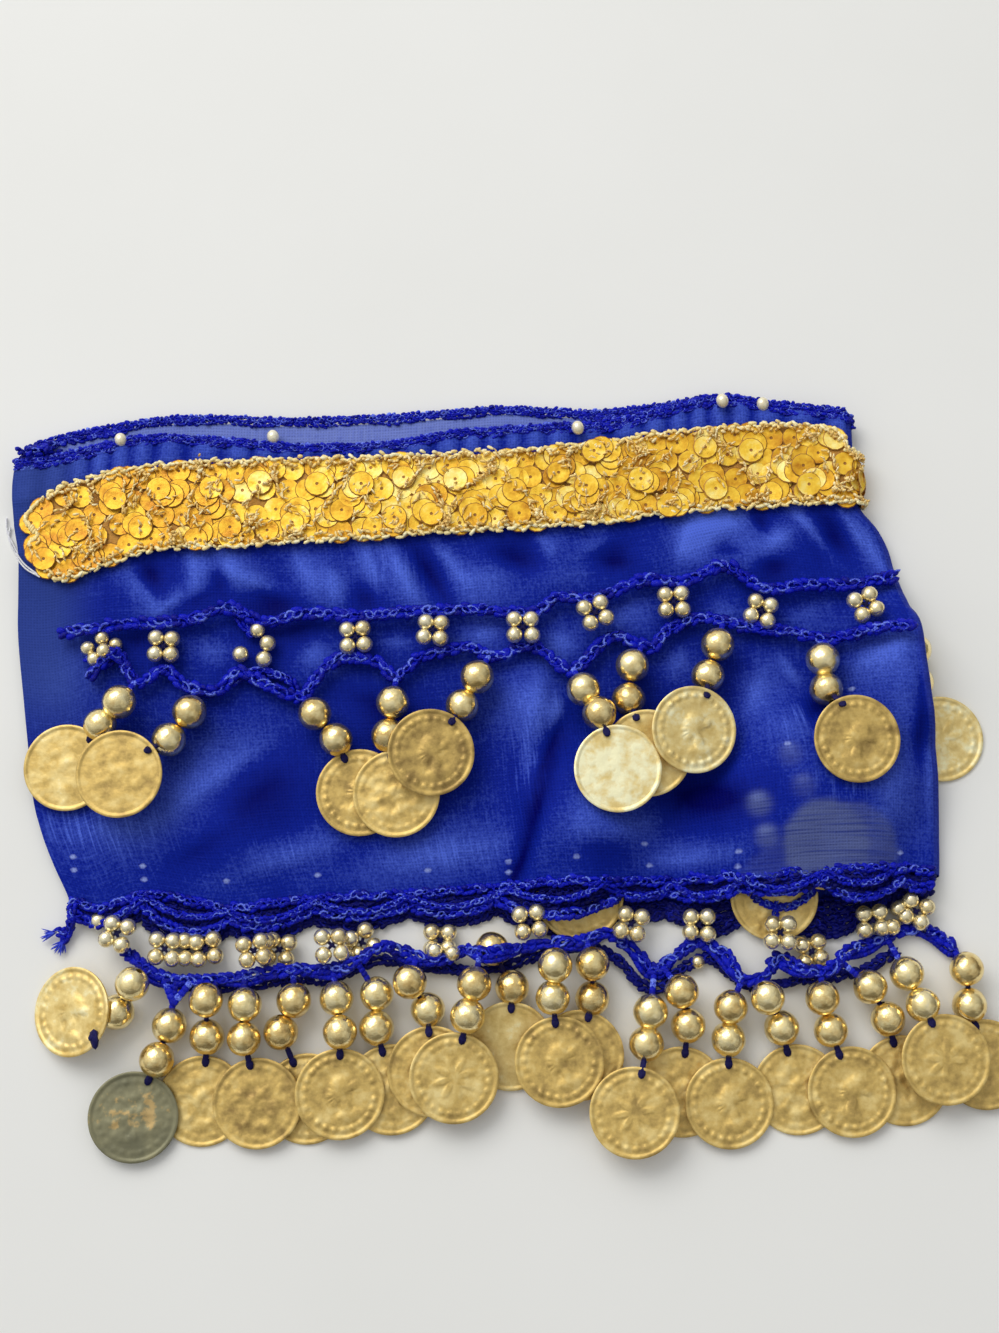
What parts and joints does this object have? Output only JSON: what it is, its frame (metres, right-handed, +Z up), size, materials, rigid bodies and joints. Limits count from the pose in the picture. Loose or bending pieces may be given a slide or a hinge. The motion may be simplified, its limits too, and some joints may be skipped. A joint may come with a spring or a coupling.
{
  "type": "dog coin hip scarf",
  "caption": "Dog's chiffon hip scarf laid flat and folded in half, with a sequin waist band, crocheted chains, and rows of bead and coin drops.",
  "frame": {"origin": "middle of the bounding box at its base, on the table that the scarf lies on", "axes": "+X along the waist towards the fold, +Y from the hem to the waist, +Z up from the table"},
  "size_m": [0.2359, 0.1793, 0.0169],
  "materials": {
    "chiffon": "sheer royal blue chiffon with a soft sheen",
    "crochet": "deep blue crochet yarn, with small gold beads in the meshes",
    "sequin": "gold cup sequins and metallic cord",
    "gold": "gold plated beads and thin stamped coins"
  },
  "bodies": {
    "root": {"back_panel": "chiffon", "band_back": "sequin", "band_fold": "sequin", "band_front": "sequin", "fold_edge": "chiffon", "front_panel": "chiffon", "hem_drop_01": "gold", "hem_drop_02": "gold", "hem_drop_03": "gold", "hem_drop_04": "gold", "hem_drop_05": "gold", "hem_drop_06": "gold", "hem_drop_07": "gold", "hem_drop_08": "gold", "hem_drop_09": "gold", "hem_drop_10": "gold", "hem_drop_11": "gold", "hem_drop_12": "gold", "hem_drop_13": "gold", "hem_drop_14": "gold", "hem_drop_15": "gold", "hem_drop_16": "gold", "hem_drop_17": "gold", "hem_drop_18": "gold", "hem_drop_19": "gold", "hem_drop_20": "gold", "hem_edge_back": "crochet", "hem_edge_front": "crochet", "hem_mesh": "crochet", "hem_mesh_back": "crochet", "inner_drop_01": "gold", "inner_drop_02": "gold", "inner_drop_03": "gold", "inner_drop_04": "gold", "rim_back": "crochet", "rim_fold": "crochet", "rim_front": "crochet", "row_chain": "crochet", "row_drop_01": "gold", "row_drop_02": "gold", "row_drop_03": "gold", "row_drop_04": "gold", "row_drop_05": "gold", "row_drop_06": "gold", "row_drop_07": "gold", "row_drop_08": "gold", "row_drop_09": "gold", "row_mesh": "crochet", "side_drop_01": "gold", "tail": "crochet"}
  },
  "joints": []
}
